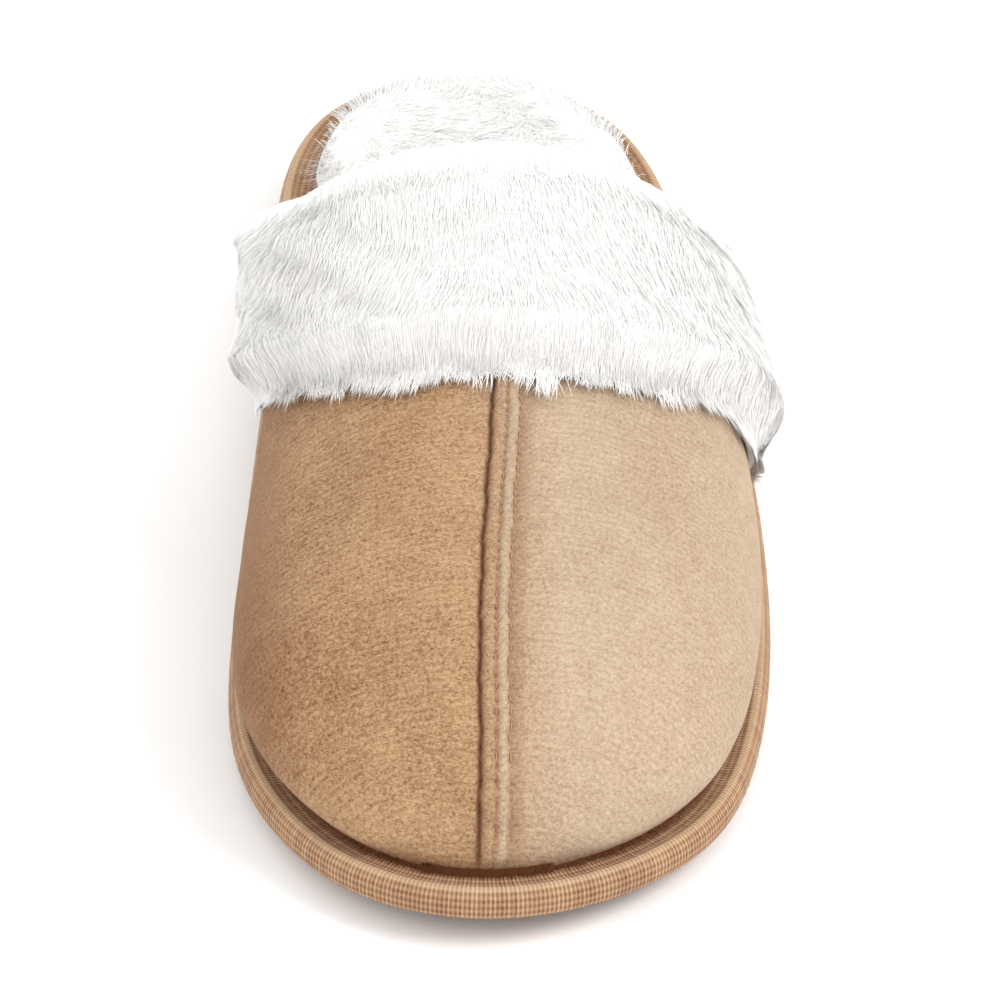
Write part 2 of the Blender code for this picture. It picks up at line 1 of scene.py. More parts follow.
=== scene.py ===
# Scuff slipper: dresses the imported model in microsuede, ribbed tape and faux fur.
# Metres, +Z up, toe towards -Y, outer side of the foot towards +X.
import math
import bpy
import numpy as np
from mathutils import Euler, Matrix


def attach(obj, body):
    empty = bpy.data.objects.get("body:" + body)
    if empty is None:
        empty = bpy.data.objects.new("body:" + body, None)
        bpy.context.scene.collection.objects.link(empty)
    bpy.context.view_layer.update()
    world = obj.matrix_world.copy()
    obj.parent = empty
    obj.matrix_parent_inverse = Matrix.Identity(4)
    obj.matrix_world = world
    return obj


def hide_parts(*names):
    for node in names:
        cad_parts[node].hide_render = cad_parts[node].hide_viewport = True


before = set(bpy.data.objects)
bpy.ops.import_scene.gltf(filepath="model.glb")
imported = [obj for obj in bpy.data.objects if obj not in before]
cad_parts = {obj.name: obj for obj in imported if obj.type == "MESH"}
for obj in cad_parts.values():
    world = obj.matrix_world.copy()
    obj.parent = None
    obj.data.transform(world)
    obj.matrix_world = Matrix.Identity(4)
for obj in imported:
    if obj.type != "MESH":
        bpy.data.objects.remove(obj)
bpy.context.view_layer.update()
rng = np.random.default_rng(7)

# the last that every piece is built on
last = {
    "soleLength": 0.263, "ballWidth": 0.098, "heelWidth": 0.074,
    "toeSpring": 0.0035, "springLength": 0.060, "outsole": 0.0025,
    "platformToe": 0.0062, "platformHeel": 0.0115,
    "creaseInset": 0.0065, "vampWall": 0.0028, "vampRise": 0.056, "vampReach": 0.138,
    "medialReach": 0.199, "lateralReach": 0.187, "toeFront": 0.0085,
    "bulge": 0.016, "sideHandle": 0.58, "gap": 0.0003,
}

# the sole's edge from the toe back: share of the length, outer side, inner side, width the shares are of
soleEdge = [
    (0.000, -0.040, -0.040, "ballWidth"),
    (0.030, 0.206, -0.266, "ballWidth"),
    (0.092, 0.371, -0.398, "ballWidth"),
    (0.188, 0.464, -0.482, "ballWidth"),
    (0.300, 0.502, -0.489, "ballWidth"),
    (0.420, 0.507, -0.468, "ballWidth"),
    (0.560, 0.482, -0.440, "ballWidth"),
    (0.700, 0.566, -0.552, "heelWidth"),
    (0.845, 0.493, -0.535, "heelWidth"),
    (0.915, 0.417, -0.480, "heelWidth"),
    (0.967, 0.284, -0.360, "heelWidth"),
    (1.000, -0.030, -0.030, "heelWidth"),
]

# the vamp's sections: girth, crown's place, crown's rise, bulges and shoulders of both sides, sweep, seam
sectionNames = "girth place rise medialBulge lateralBulge medialShoulder lateralShoulder sweep seam".split()
vampSections = [
    (0.000, 0.036, 0.000, 0.00, 0.00, 0.60, 0.60, 1.0, -0.030),
    (0.125, 0.070, 0.225, 0.60, 0.45, 0.66, 0.66, 1.0, -0.027),
    (0.250, 0.128, 0.405, 0.95, 0.72, 0.72, 0.72, 1.0, -0.027),
    (0.375, 0.220, 0.555, 1.10, 0.85, 0.76, 0.75, 1.0, -0.027),
    (0.500, 0.345, 0.665, 1.12, 0.85, 0.80, 0.77, 1.0, -0.024),
    (0.625, 0.486, 0.740, 1.08, 0.82, 0.82, 0.78, 1.0, -0.017),
    (0.750, 0.644, 0.802, 1.02, 0.72, 0.84, 0.78, 1.1, -0.008),
    (0.875, 0.814, 0.888, 0.80, 0.50, 0.84, 0.77, 1.4, -0.006),
    (1.000, 1.000, 1.000, 0.60, 0.36, 0.84, 0.76, 1.7, -0.006),
    (1.120, 1.180, 1.110, 0.60, 0.36, 0.84, 0.76, 1.8, -0.006),
]


def through(knots, values, period=None):  # cubic spline through the values, closed if it has a period
    knots = np.asarray(knots, float)
    values = np.asarray(values, float)
    if period:
        knots = np.append(knots, knots[0] + period)
        values = np.append(values, values[0])
    steps = np.diff(knots)
    slopes = np.diff(values) / steps
    size = len(knots) - (1 if period else 0)
    system = np.eye(size)
    right = np.zeros(size)
    for i in range(0 if period else 1, size if period else size - 1):
        system[i] = 0
        system[i, (i - 1) % size] += steps[i - 1]
        system[i, i] += 2 * (steps[i - 1] + steps[i])
        system[i, (i + 1) % size] += steps[i]
        right[i] = 6 * (slopes[i] - slopes[i - 1])
    bend = np.linalg.solve(system, right)
    if period:
        bend = np.append(bend, bend[0])

    def at(x):
        x = np.asarray(x, float)
        if period:
            x = (x - knots[0]) % period + knots[0]
        i = np.clip(np.searchsorted(knots, x, side="right") - 1, 0, len(steps) - 1)
        a, b, h = x - knots[i], knots[i + 1] - x, steps[i]
        return ((bend[i] * b**3 + bend[i + 1] * a**3) / (6 * h)
                + (values[i] / h - bend[i] * h / 6) * b
                + (values[i + 1] / h - bend[i + 1] * h / 6) * a)
    return at


def ease(x, low, high):
    t = np.clip((np.asarray(x, float) - low) / (high - low), 0, 1)
    return t * t * (3 - 2 * t)


def bump(x, centre, width):
    return np.exp(-((np.asarray(x, float) - centre) / width) ** 2)


def edgeAcross():
    phases = [-math.acos(1 - 2 * row[0]) for row in reversed(soleEdge[1:-1])]
    across = [row[2] * last[row[3]] for row in reversed(soleEdge[1:-1])]
    phases += [math.acos(1 - 2 * row[0]) for row in soleEdge]
    across += [row[1] * last[row[3]] for row in soleEdge]
    return through(phases, across, period=2 * math.pi)


across = edgeAcross()


def soleOutline(phase, inset):  # phase 0 at the toe, pi at the heel, outer side first
    phase = np.asarray(phase, float)

    def edge(p):
        return np.stack([across(p), -last["soleLength"] / 2 * np.cos(p)], -1)
    along = edge(phase + 1e-4) - edge(phase - 1e-4)
    along /= np.linalg.norm(along, axis=-1, keepdims=True)
    inward = np.stack([-along[..., 1], along[..., 0]], -1)
    return edge(phase) + inward * np.asarray(inset, float)[..., None]


def platformBottom(y):
    fromToe = np.asarray(y, float) + last["soleLength"] / 2
    spring = last["toeSpring"] * np.clip(1 - fromToe / last["springLength"], 0, None) ** 2
    return spring + last["outsole"] + last["gap"]


def platformTop(y):
    wedge = ease(np.asarray(y, float) / last["soleLength"], -0.25, 0.25)
    return platformBottom(y) + last["platformToe"] + (last["platformHeel"] - last["platformToe"]) * wedge


section = {name: through([row[0] for row in vampSections], [row[k] for row in vampSections])
           for k, name in enumerate(sectionNames) if k}
lateralPhase = math.acos(1 - 2 * last["lateralReach"] / last["soleLength"])
medialPhase = math.acos(1 - 2 * last["medialReach"] / last["soleLength"])
toePhase = 2 * last["toeFront"] / last["ballWidth"]


def crownLine(girth, inward):
    def line(g):
        y = section["place"](g) * last["vampReach"] - last["soleLength"] / 2
        return np.stack([y, platformTop(y) + last["gap"] + section["rise"](g) * last["vampRise"]], -1)
    tangent = line(girth + 0.01) - line(np.maximum(girth - 0.01, 0))
    tangent /= np.linalg.norm(tangent, axis=-1, keepdims=True)
    inside = np.stack([tangent[..., 1], -tangent[..., 0]], -1)
    return line(girth) + inside * inward[..., None]


def shell(girth, side, inward=0.0):  # side -1 inner foot, 0 crown, 1 outer foot; inward goes into the shoe
    girth, side, inward = np.broadcast_arrays(*(np.asarray(v, float) for v in (girth, side, inward)))
    inner = side < 0
    reach = np.where(inner, medialPhase, lateralPhase)
    phase = np.where(inner, -1, 1) * (toePhase + girth * (reach - toePhase))
    feet = soleOutline(phase, last["creaseInset"] + inward)
    footZ = platformTop(feet[..., 1]) + last["gap"]
    seamX = section["seam"](girth) * last["ballWidth"]
    middle = crownLine(girth, inward)
    lift = np.maximum(middle[..., 1] - footZ, 0)
    bulge = last["bulge"] * np.where(inner, -section["medialBulge"](girth), section["lateralBulge"](girth))
    shoulder = np.where(inner, section["medialShoulder"](girth), section["lateralShoulder"](girth))
    t = 1 - np.abs(side)
    weights = ((1 - t) ** 3, 3 * (1 - t) ** 2 * t, 3 * (1 - t) * t**2, t**3)
    xs = (feet[..., 0], feet[..., 0] + bulge, seamX + (feet[..., 0] - seamX) * shoulder, seamX)
    x = sum(w * h for w, h in zip(weights, xs))
    up = sum(w * h for w, h in zip(weights, (0.0, last["sideHandle"], 1.0, 1.0)))
    back = 1 - (1 - np.clip(up, 0, 1)) ** section["sweep"](girth)
    y = feet[..., 1] + (middle[..., 0] - feet[..., 1]) * back
    points = np.stack([x, y, footZ + lift * up], -1)
    near = ease(girth, 0.0, 0.10)[..., None]
    flat = soleOutline(phase * (x - seamX) / (feet[..., 0] - seamX), last["creaseInset"] + inward)
    front = np.concatenate([flat, (platformTop(flat[..., 1]) + last["gap"] + lift * up)[..., None]], -1)
    return front + (points - front) * near


# making meshes
def addObject(name, data):
    made = bpy.data.objects.new(name, data)
    bpy.context.scene.collection.objects.link(made)
    return made


def newPiece(name, verts, faces, material, marks=None, normals=None):
    mesh = bpy.data.meshes.new(name)
    mesh.from_pydata(verts, [], faces)
    mesh.materials.append(material)
    for label, values in (marks or {}).items():  # values that the materials read, one vector a vertex
        layer = mesh.attributes.new(label, "FLOAT_VECTOR", "POINT")
        layer.data.foreach_set("vector", np.asarray(values, np.float32).ravel())
    mesh.shade_smooth()
    if normals is not None:
        mesh.normals_split_custom_set_from_vertices(normals)
    piece = addObject(name, mesh)
    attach(piece, "root")
    return piece


def gridFaces(rows, columns, loopRows=False, loopColumns=False, start=0, flip=False):
    r = np.arange(rows if loopRows else rows - 1)
    c = np.arange(columns if loopColumns else columns - 1)
    rr, cc = np.meshgrid(r, c, indexing="ij")
    r2, c2 = (rr + 1) % rows, (cc + 1) % columns
    quads = np.stack([rr * columns + cc, rr * columns + c2, r2 * columns + c2, r2 * columns + cc], -1)
    quads = quads.reshape(-1, 4) + start
    return (quads[:, ::-1] if flip else quads).tolist()


def unit(v):
    return v / (np.linalg.norm(v, axis=-1, keepdims=True) + 1e-12)


def strands(name, points, widths, out, material, marks):
    # points (strand, step, xyz); each strand is a thin blade lying on the skin and shaded as the skin is
    count, steps = points.shape[:2]
    out = out[:, None]
    ahead = unit(np.gradient(points, axis=1))
    side = unit(np.cross(ahead, out))
    half = side * (widths / 2)[..., None]
    pairs = np.stack([points - half, points + half], 2)[:, :-1].reshape(count, -1, 3)
    verts = np.concatenate([pairs, points[:, -1:]], 1)
    each = verts.shape[1]
    base = np.arange(count)[:, None] * each
    quads = [base + np.array([2 * k, 2 * k + 1, 2 * k + 3, 2 * k + 2]) for k in range(steps - 2)]
    tips = base + np.array([each - 3, each - 2, each - 1])
    faces = np.concatenate(quads).tolist() + tips.tolist()
    values = np.empty((count, each, 3))
    values[..., 0] = np.repeat(np.linspace(0, 1, steps), 2)[:-1]
    values[..., 1:] = marks[:, None, :]
    tilt = 0.2  # how much a blade's own direction shows in its shading
    shade = unit(out + tilt * ahead + tilt * (marks[:, :1] - 0.5)[:, None, :] * side)
    shade = np.repeat(shade, 2, axis=1)[:, :-1]
    newPiece(name, verts.reshape(-1, 3), faces, material, {"strand": values}, shade.reshape(-1, 3))


bladeTaper = np.array([1.0, 0.95, 0.7, 0.0])  # a fur blade's width from root to tip

# materials
class Wire:  # a socket that takes part in plain maths
    def __init__(self, shader, socket):
        self.shader, self.socket = shader, socket

    def sum(self, kind, a, b):
        return self.shader.node("ShaderNodeMath", {"operation": kind}, {0: a, 1: b})

    def __add__(self, other):
        return self.sum("ADD", self, other)

    def __radd__(self, other):
        return self.sum("ADD", other, self)

    def __sub__(self, other):
        return self.sum("SUBTRACT", self, other)

    def __rsub__(self, other):
        return self.sum("SUBTRACT", other, self)

    def __mul__(self, other):
        return self.sum("MULTIPLY", self, other)

    def __rmul__(self, other):
        return self.sum("MULTIPLY", other, self)


class Shader:
    def __init__(self, name, roughness, **fixed):
        self.material = bpy.data.materials.new(name)
        self.material.use_nodes = True
        self.tree = self.material.node_tree
        self.skin = self.tree.nodes["Principled BSDF"]
        self.skin.inputs["Roughness"].default_value = roughness
        for socket, value in fixed.items():
            self.skin.inputs[socket.replace("_", " ")].default_value = value

    def node(self, kind, settings=None, sockets=None, output=0):
        made = self.tree.nodes.new(kind)
        for key, value in (settings or {}).items():
            setattr(made, key, value)
        for key, value in (sockets or {}).items():
            if isinstance(value, Wire):
                self.tree.links.new(value.socket, made.inputs[key])
            else:
                made.inputs[key].default_value = value
        return Wire(self, made.outputs[output])

    def mark(self, label):  # the three numbers that the mesh keeps under this name
        vector = self.node("ShaderNodeAttribute", {"attribute_name": label}, output="Vector")
        parts = self.node("ShaderNodeSeparateXYZ", sockets={0: vector}).socket.node
        return [Wire(self, number) for number in parts.outputs]

    def place(self):
        return self.node("ShaderNodeTexCoord", output="Object")

    def stretch(self, vector, scale):
        return self.node("ShaderNodeMapping", sockets={"Vector": vector, "Scale": scale})

    def grain(self, vector, scale, detail, rough, warp=0.0):
        return self.node("ShaderNodeTexNoise", sockets={
            "Vector": vector, "Scale": scale, "Detail": detail, "Roughness": rough, "Distortion": warp})

    def between(self, value, low, high):
        return self.node("ShaderNodeMapRange", {"clamp": True}, {
            "Value": value, "From Min": low, "From Max": high, "To Min": 0.0, "To Max": 1.0})

    def blend(self, share, first, second):
        return self.node("ShaderNodeMix", {"data_type": "RGBA"}, {0: share, 6: first, 7: second}, output=2)

    def finish(self, colour, height=None, depth=0.0, strength=1.0, roughness=None):
        self.tree.links.new(colour.socket, self.skin.inputs["Base Color"])
        if height is not None:
            relief = self.node("ShaderNodeBump", sockets={
                "Height": height, "Distance": depth, "Strength": strength})
            self.tree.links.new(relief.socket, self.skin.inputs["Normal"])
        if roughness is not None:
            self.tree.links.new(roughness.socket, self.skin.inputs["Roughness"])
        return self.material


def tone(r, g, b):  # a screen colour, each part from about 10 to 255, made linear
    return tuple(((c / 255 + 0.055) / 1.055) ** 2.4 for c in (r, g, b)) + (1,)


suede = {
    # inner half light and dark; outer half two paler tones, a painted highlight haze; the seam's ditch and
    # the crease, both in painted shade
    "light": tone(186, 152, 115), "dark": tone(117, 76, 45), "pale": tone(193, 177, 156),
    "litHazeDark": tone(166, 144, 120), "deep": tone(118, 66, 40), "edge": tone(106, 60, 34),
    # the weave's rows in mm, then the scales of the grains, from fine to broad, and the sheen
    "rowPitch": 1.45, "speckle": 2300, "wobble": 380, "patch": 210, "drift": 34, "nap": 0.08,
    "contrast": (0.70, 1.24), "relief": 0.00030,
}


def suedeMaterial():
    s = Shader("microsuede", 0.92, Sheen_Weight=suede["nap"], Sheen_Roughness=0.5,
               Specular_IOR_Level=0.12)
    # cloth carries the run along the weave and the ditch's painted shade; the second mark carries a painted
    # highlight haze, painted crease shade, and patches of tone and painted light
    along, ditch, _ = s.mark("cloth")
    pale, crease, patchToneLight = s.mark("lightShadeTone")
    place = s.place()
    fine = s.grain(s.stretch(place, (0.8, 1.15, 1.15)), suede["speckle"], 2.0, 0.6, 0.3)
    fleck = s.grain(place, suede["speckle"] * 0.55, 2.0, 0.5, 0.5)
    patch = s.grain(place, suede["patch"], 3.0, 0.55, 0.4)
    drift = s.grain(place, suede["drift"], 2.0, 0.5, 0.3)
    wobble = s.grain(place, suede["wobble"], 2.0, 0.5)
    rows = s.node("ShaderNodeMath", {"operation": "SINE"}, {
        0: along * (2 * math.pi / suede["rowPitch"]) + wobble * 5.0}) * 0.5 + 0.5
    speck = fine * 0.62 + fleck * 0.38
    share = s.between(
        speck * 1.5 + rows * (0.02 + 0.10 * patch) + patch * 0.20 + drift * 0.24 + patchToneLight * 0.09,
        *suede["contrast"])
    colour = s.blend(share, suede["dark"], suede["light"])
    # painted highlight: the outer half and the seam's crest made paler and hazier, as where the light falls
    colour = s.blend(pale * 0.66, colour, s.blend(share, suede["litHazeDark"], suede["pale"]))
    # painted shade along the crease, beside the seam's ridge and at the inner side's far edge
    colour = s.blend(crease * (0.35 + 0.5 * speck), colour, suede["edge"])
    # painted shade in the seam's ditch and its stitch furrows
    colour = s.blend(ditch * (0.55 + speck * 0.5), colour, suede["deep"])
    height = speck * 1.2 + rows * 0.2 + patch * 0.25
    return s.finish(colour, height, suede["relief"], 0.8, 0.84 + fine * 0.14)


tapeLook = {
    # crest and valley: painted light and shade on the ribs; edge: a painted highlight on the rim; recess:
    # painted shade
    "crest": tone(198, 164, 126), "valley": tone(108, 62, 38), "edge": tone(212, 186, 152),
    "recess": tone(112, 70, 42), "weave": 1500, "patch": 120, "relief": 0.00018,
}


def tapeMaterial():
    s = Shader("ribbed tape", 0.8, Sheen_Weight=0.15, Sheen_Roughness=0.4, Specular_IOR_Level=0.25)
    ribCrestLight, row, rim = s.mark("weave")
    place = s.place()
    fine = s.grain(place, tapeLook["weave"], 3.0, 0.6)
    patch = s.grain(place, tapeLook["patch"], 2.0, 0.5)
    # ribs painted lighter on their crests and darker in their valleys, by a random amount on each rib
    share = s.between(ribCrestLight * 0.72 + fine * 0.35 + patch * 0.3 - row * 0.30, 0.10, 0.95)
    colour = s.blend(share, tapeLook["valley"], tapeLook["crest"])
    # a painted highlight along the rim, then painted shade in the recess towards the vamp
    colour = s.blend(s.between(rim, 0.0, 1.0) * 0.65, colour, tapeLook["edge"])
    colour = s.blend(s.between(rim, 0.0, -1.0), colour, tapeLook["recess"])
    return s.finish(colour, fine * 0.6 - row * 0.5, tapeLook["relief"], 0.7)


# roots painted lighter than tips, a painted light that softens the shade between hairs; warm is a random tone
# of some clumps
furLook = {"tip": tone(241, 240, 238), "root": tone(245, 244, 242), "warm": tone(240, 238, 234)}


def furMaterial():
    s = Shader("white fur", 0.9, Sheen_Weight=0.25, Sheen_Roughness=0.5, Specular_IOR_Level=0.1)
    reach, _, clump = s.mark("strand")
    # painted light: lighter towards the roots
    colour = s.blend(s.between(reach, 0.0, 0.7), furLook["root"], furLook["tip"])
    colour = s.blend(s.between(clump, 0.75, 1.0) * 0.5, colour, furLook["warm"])
    return s.finish(colour)


# the quieter materials: the two colours that each wanders between, how fine its grain is
quiet = {
    "footbed plush": (tone(228, 226, 223), tone(240, 239, 237), 420),
    "lining plush": (tone(214, 206, 196), tone(240, 235, 228), 520),
    "tan rubber": (tone(120, 84, 54), tone(142, 104, 70), 1400),
    "pale foam": (tone(206, 196, 180), tone(226, 218, 204), 1800),
    "tan thread": (tone(150, 112, 78), tone(178, 142, 106), 2600),
}


def plushMaterial(name):
    dark, light, scale = quiet[name]
    s = Shader(name, 0.95, Sheen_Weight=0.3, Sheen_Roughness=0.5, Specular_IOR_Level=0.1)
    place = s.place()
    curl = s.grain(place, scale, 4.0, 0.6, 1.4)
    soft = s.grain(place, scale * 0.16, 2.0, 0.5)
    colour = s.blend(s.between(curl * 0.7 + soft * 0.3, 0.3, 0.7), dark, light)
    return s.finish(colour, curl + soft, 0.0009, 0.6)


def rubberMaterial():
    dark, light, scale = quiet["tan rubber"]
    s = Shader("tan rubber", 0.62, Specular_IOR_Level=0.4)
    place = s.place()
    speck = s.grain(place, scale, 3.0, 0.6)
    scuff = s.grain(s.stretch(place, (1.0, 0.25, 1.0)), 180, 3.0, 0.6, 0.5)
    colour = s.blend(s.between(speck * 0.5 + scuff * 0.5, 0.35, 0.65), dark, light)
    return s.finish(colour, speck, 0.00012, 0.6, 0.5 + scuff * 0.25)


def foamMaterial():
    dark, light, scale = quiet["pale foam"]
    s = Shader("pale foam", 0.85, Specular_IOR_Level=0.2)
    cells = s.grain(s.place(), scale, 2.0, 0.5)
    return s.finish(s.blend(cells, dark, light), cells, 0.0001, 0.5)


def threadMaterial():
    dark, light, scale = quiet["tan thread"]
    s = Shader("tan thread", 0.7, Sheen_Weight=0.2, Specular_IOR_Level=0.3)
    fine = s.grain(s.place(), scale, 2.0, 0.6)
    return s.finish(s.blend(fine, dark, light), fine, 0.0001, 0.6)


def napMaterial():
    s = Shader("crease nap", 0.9, Sheen_Weight=0.1, Specular_IOR_Level=0.1)
    reach, chance, _ = s.mark("strand")
    return s.finish(s.blend(s.between(reach * 0.5 + chance * 0.5, 0.2, 0.9), suede["deep"], suede["dark"]))


looks = {
    "suede": suedeMaterial(), "nap": napMaterial(), "tape": tapeMaterial(), "fur": furMaterial(),
    "plush": plushMaterial("footbed plush"), "lining": plushMaterial("lining plush"),
    "rubber": rubberMaterial(), "foam": foamMaterial(), "thread": threadMaterial(),
}
print("materials made")

# the vamp, with its lining, crease hairs and stitches
vamp = {
    # mesh rows and columns
    "rowsToCuff": 250, "rowsUnderCuff": 10, "columnsEachSide": 74,
    # the seam's rise and its ditch, the puckers beside it, how much its lines wander
    "seamHeight": 0.0011, "ditch": 0.0012, "pucker": 0.00034, "puckerPitch": 0.0040, "wobble": 0.26,
    "stitchPitch": 0.0021, "stitchFrom": -0.117, "stitchTo": -0.030, "thread": 0.00016,
    # the dark hairs along the crease, and the share of them that is round the toe
    "creaseHairs": 9000, "creaseHair": 0.0014, "creaseHairWidth": 0.00011, "toeShare": 0.30,
    # what the cuff covers, how far fine rows go on beneath it and crowd at the toe, the edge's turn-in
    "cuffWidth": 0.0455, "pastCuff": 1.02, "rowCrowding": 1.12, "tuckIn": 0.9,
}
# the seam in section: across from its middle in mm, rise as a share of its height
seamProfile = [
    (-5.0, 0.00), (-4.2, 0.00), (-3.7, -0.12), (-3.35, -0.5), (-3.05, -1.0), (-2.85, -1.0), (-2.6, -0.35),
    (-2.3, 0.42), (-1.9, 0.64), (-1.4, 0.64), (-0.9, 0.60), (-0.55, 0.50), (-0.25, 0.34), (0.05, 0.55),
    (0.4, 0.86), (0.8, 1.00), (1.2, 0.98), (1.6, 0.80), (1.95, 0.42), (2.15, 0.20), (2.5, 0.22),
    (3.1, 0.20), (4.0, 0.08), (5.2, 0.00),
]
# soft folds: place across and along in mm, half sizes, turn in degrees, rise in mm
folds = [
    (-30, -62, 5, 26, 8, -0.55), (-24, -30, 20, 6, -12, -0.40), (-14, -98, 5, 14, 18, -0.45),
    (12, -104, 6, 10, -22, -0.40), (20, -60, 22, 7, 14, -0.45), (33, -84, 5, 20, -12, -0.35),
    (26, -34, 14, 7, 22, 0.35), (-34, -96, 5, 16, 30, 0.40), (8, -46, 5, 18, 4, -0.35),
    (-11, -48, 5, 22, -3, 0.30), (-20, -82, 14, 5, -20, 0.28), (24, -98, 12, 6, 30, 0.25),
]
# patches partly the nap's own tone and partly painted light and shade: place across and along in mm, half
# sizes, darker below 0 and paler above
toneAndLightSpots = [
    (-34, -70, 9, 30, -0.5), (-30, -100, 12, 12, -0.4), (-18, -34, 14, 9, 0.3), (-9, -72, 5, 34, 0.6),
    (-22, -84, 12, 14, 0.3), (4, -74, 4, 30, -0.5), (16, -98, 12, 10, 0.5), (26, -60, 9, 9, -0.45),
    (30, -40, 12, 8, -0.25), (34, -84, 10, 12, 0.3), (12, -46, 8, 12, 0.3), (-26, -52, 7, 5, -0.35),
]


def findCuffStart():
    girths = np.linspace(0.4, 1.0, 241)
    line = crownLine(girths, np.zeros(241))
    runs = np.concatenate([[0], np.cumsum(np.linalg.norm(np.diff(line, axis=0), axis=1))])
    return float(np.interp(runs[-1] - vamp["cuffWidth"], runs, girths))


cuffStart = findCuffStart()
seamOffsets = np.array([row[0] for row in seamProfile])
seamRises = np.array([row[1] for row in seamProfile])


def seamSway(girth):  # how far the seam's lines wander sideways here, in mm
    y = float(crownLine(np.array(girth), np.array(0.0))[0]) * 1000
    left = math.sin(1.1 * y + 0.6) * 0.35 + math.sin(2.0 * y + 2.0) * 0.2 + math.sin(0.43 * y) * 0.45
    right = math.sin(1.13 * y + 2.6) * 0.4 + math.sin(2.1 * y) * 0.3 + math.sin(0.51 * y + 1.0) * 0.4
    aside = 0.6 + 1.3 * float(ease(y, -105, -35))
    lines = left * bump(seamOffsets, -3.0, 1.1) + right * bump(seamOffsets, 1.6, 1.6)
    return aside + vamp["wobble"] * lines


def vampSides(girth):  # side values of the columns, with the seam's own columns where they belong
    dense = np.linspace(-0.7, 0.7, 1001)
    spread = (shell(girth, dense)[:, 0] - section["seam"](girth) * last["ballWidth"]) * 1000
    middle = np.interp(seamOffsets + seamSway(girth), spread, dense)
    share = np.linspace(0, 1, vamp["columnsEachSide"] + 1)[:-1]
    return np.concatenate([-1 + share * (1 + middle[0]), middle, (1 - share * (1 - middle[-1]))[::-1]])


def vampRelief(points, offset, fade):
    x, y = points[..., 0] * 1000, points[..., 1] * 1000
    rise = np.zeros(x.shape)
    for px, py, halfX, halfY, turn, depth in folds:
        c, s = math.cos(math.radians(turn)), math.sin(math.radians(turn))
        a = ((x - px) * c + (y - py) * s) / halfX
        b = (-(x - px) * s + (y - py) * c) / halfY
        rise += depth * np.exp(-a * a - b * b)
    rise += 0.10 * np.sin(0.21 * x + 1.3 * np.sin(0.13 * y)) * np.sin(0.17 * y + 0.9)
    rise /= 1000
    seam = np.interp(offset, seamOffsets, seamRises)
    toeward = 0.55 + 0.8 * ease(-y, 60, 118)
    wave = y / (vamp["puckerPitch"] * 1000) * 2 * math.pi
    lumps = np.sin(wave + 0.8 * np.sin(0.37 * y)) * 0.6 + np.sin(wave * 1.73 + 1.1) * 0.4
    strip = np.sin(wave * 1.31 + 0.5) * 0.5 + np.sin(wave * 2.21 + 0.9 * np.sin(0.9 * y)) * 0.5
    rise += vamp["pucker"] * toeward * lumps * (bump(offset, -3.9, 0.9) + 0.8 * bump(offset, 3.3, 1.5))
    rise += vamp["pucker"] * toeward * strip * bump(offset, -0.5, 1.6)
    rise -= 0.00018 * (0.5 + 0.5 * np.cos(y / (vamp["stitchPitch"] * 1000) * 2 * math.pi)) * (
        bump(offset, -0.25, 0.3) + 0.7 * bump(offset, 2.15, 0.35))
    height = np.where(seam > 0, vamp["seamHeight"], vamp["ditch"] * (1 + 0.25 * lumps))
    return rise * fade + seam * height * np.minimum(fade * 1.6, 1)


